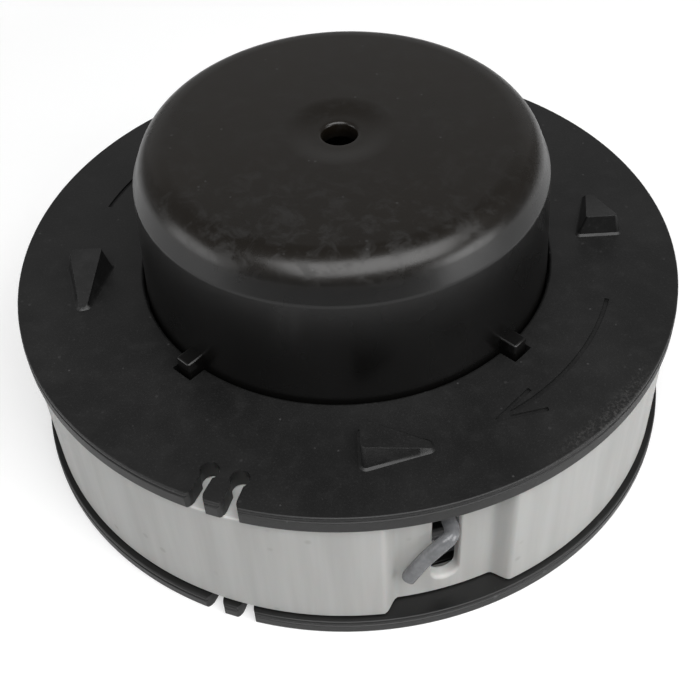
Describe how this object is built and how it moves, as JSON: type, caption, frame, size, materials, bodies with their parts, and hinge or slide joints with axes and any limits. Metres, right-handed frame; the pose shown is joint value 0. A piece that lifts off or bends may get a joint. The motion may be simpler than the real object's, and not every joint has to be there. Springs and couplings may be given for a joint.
{
  "type": "trimmer head",
  "caption": "Two-line garden trimmer head: line spool with feed ramps, sprung bump cap and a turning white ring with line windows.",
  "frame": {"origin": "on the axis, in the plane of the lower flange's underside", "axes": "+Z along the axis, from the lower flange up to the cap; -Y towards the side with the visible line window; +X to the right of it"},
  "size_m": [0.0928, 0.0928, 0.0453],
  "materials": {
    "black_moulding": "fine-grained black moulding, handled and dusty",
    "black_moulding_lower": "fine-grained black moulding",
    "cap_moulding": "satin black moulding with greasy patches",
    "white_moulding": "semi-matt natural white moulding",
    "cutting_line": "clear grey nylon line",
    "screw_steel": "zinc-plated",
    "spring_steel": "oiled spring wire",
    "washer_steel": "pressed sheet",
    "bush_brass": "turned"
  },
  "bodies": {
    "spool": {"spool_body": "black_moulding", "base_plate": "black_moulding_lower", "base_screws": "screw_steel", "upper_winding": "cutting_line", "lower_winding": "cutting_line", "bump_spring": "spring_steel", "spring_washer": "washer_steel", "drive_bush": "bush_brass", "shaft_nut": "screw_steel", "nut_clip": "spring_steel"},
    "cap": {"bump_cap": "cap_moulding", "spring_cup": "washer_steel"},
    "ring": {"guide_ring": "white_moulding", "upper_line_end": "cutting_line", "lower_line_end": "cutting_line"}
  },
  "joints": [
    {"name": "bump_press", "type": "slide", "parent": "spool", "child": "cap", "axis": [0, 0, -1], "range_m": [0, 0.006], "stiffness_N_per_m": 1500, "springref_m": -0.005, "deforming": ["bump_spring"]},
    {"name": "ring_turn", "type": "hinge", "parent": "spool", "child": "ring", "pos_m": [0, 0, 0.012], "axis": [0, 0, 1], "continuous": true}
  ]
}
